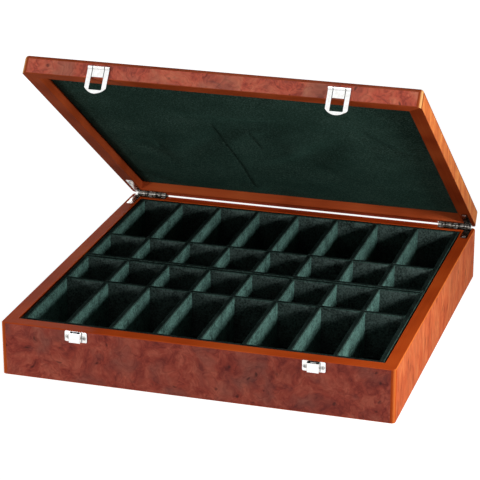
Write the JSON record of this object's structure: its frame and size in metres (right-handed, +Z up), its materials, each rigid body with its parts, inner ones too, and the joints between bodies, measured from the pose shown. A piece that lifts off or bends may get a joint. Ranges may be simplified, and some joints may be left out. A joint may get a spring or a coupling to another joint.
{
  "type": "chess piece box",
  "caption": "Shallow hinged wooden box with burl veneer, a lined lid, hasp catches and flocked trays divided into compartments for chess pieces.",
  "frame": {"origin": "centre of the box's footprint, on the surface that it stands on", "axes": "+X to the right as seen from the front, +Y to the back where the hinges are, +Z up; the front with the catches faces -Y"},
  "size_m": [0.38, 0.3892, 0.2888],
  "materials": {
    "lacquered_wood": "gloss lacquer over plain orange-brown hardwood",
    "burl_veneer": "gloss lacquer over red-brown burl",
    "panel_board": "plain board",
    "flocked_board": "dark teal flock",
    "velvet": "dark green velvet over padding",
    "nickel_plate": "polished nickel",
    "spring_steel": "bright spring steel",
    "screw_steel": "nickel-plated steel"
  },
  "bodies": {
    "base": {"base_front_wall": "lacquered_wood", "base_back_wall": "lacquered_wood", "base_left_wall": "lacquered_wood", "base_right_wall": "lacquered_wood", "base_bottom_panel": "panel_board", "base_front_veneer": "burl_veneer", "base_back_veneer": "burl_veneer", "base_left_veneer": "burl_veneer", "base_right_veneer": "burl_veneer", "front_tray_floor": "flocked_board", "front_tray_front_wall": "flocked_board", "front_tray_back_wall": "flocked_board", "front_tray_left_wall": "flocked_board", "front_tray_right_wall": "flocked_board", "front_tray_long_divider": "flocked_board", "front_tray_long_row_dividers": "flocked_board", "front_tray_short_row_dividers": "flocked_board", "rear_tray_floor": "flocked_board", "rear_tray_front_wall": "flocked_board", "rear_tray_back_wall": "flocked_board", "rear_tray_left_wall": "flocked_board", "rear_tray_right_wall": "flocked_board", "rear_tray_long_divider": "flocked_board", "rear_tray_long_row_dividers": "flocked_board", "rear_tray_short_row_dividers": "flocked_board", "left_hinge_base_leaf": "nickel_plate", "right_hinge_base_leaf": "nickel_plate", "left_hinge_pin": "nickel_plate", "right_hinge_pin": "nickel_plate", "left_keeper": "nickel_plate", "right_keeper": "nickel_plate", "left_keeper_spring": "spring_steel", "right_keeper_spring": "spring_steel", "hinge_base_screws": "screw_steel", "keeper_screws": "screw_steel"},
    "lid": {"lid_front_wall": "lacquered_wood", "lid_back_wall": "lacquered_wood", "lid_left_wall": "lacquered_wood", "lid_right_wall": "lacquered_wood", "lid_top_panel": "panel_board", "lid_top_veneer": "burl_veneer", "lid_front_veneer": "burl_veneer", "lid_back_veneer": "burl_veneer", "lid_left_veneer": "burl_veneer", "lid_right_veneer": "burl_veneer", "lid_lining": "velvet", "left_hinge_lid_leaf": "nickel_plate", "right_hinge_lid_leaf": "nickel_plate", "left_hasp_plate": "nickel_plate", "right_hasp_plate": "nickel_plate", "left_hasp_pin": "nickel_plate", "right_hasp_pin": "nickel_plate", "hinge_lid_screws": "screw_steel", "hasp_plate_screws": "screw_steel"},
    "left_hasp": {"left_hasp": "nickel_plate"},
    "right_hasp": {"right_hasp": "nickel_plate"}
  },
  "joints": [
    {"name": "lid_hinge", "type": "hinge", "parent": "base", "child": "lid", "pos_m": [0, 0.1887, 0.05315], "axis": [-1, 0, 0], "range_deg": [-36.3, 58.7]},
    {"name": "left_hasp_swing", "type": "hinge", "parent": "lid", "child": "left_hasp", "pos_m": [-0.1145, -0.10929, 0.28514], "axis": [-1, 0, 0], "range_deg": [0, 190]},
    {"name": "right_hasp_swing", "type": "hinge", "parent": "lid", "child": "right_hasp", "pos_m": [0.1145, -0.10929, 0.28514], "axis": [-1, 0, 0], "range_deg": [0, 190]}
  ]
}
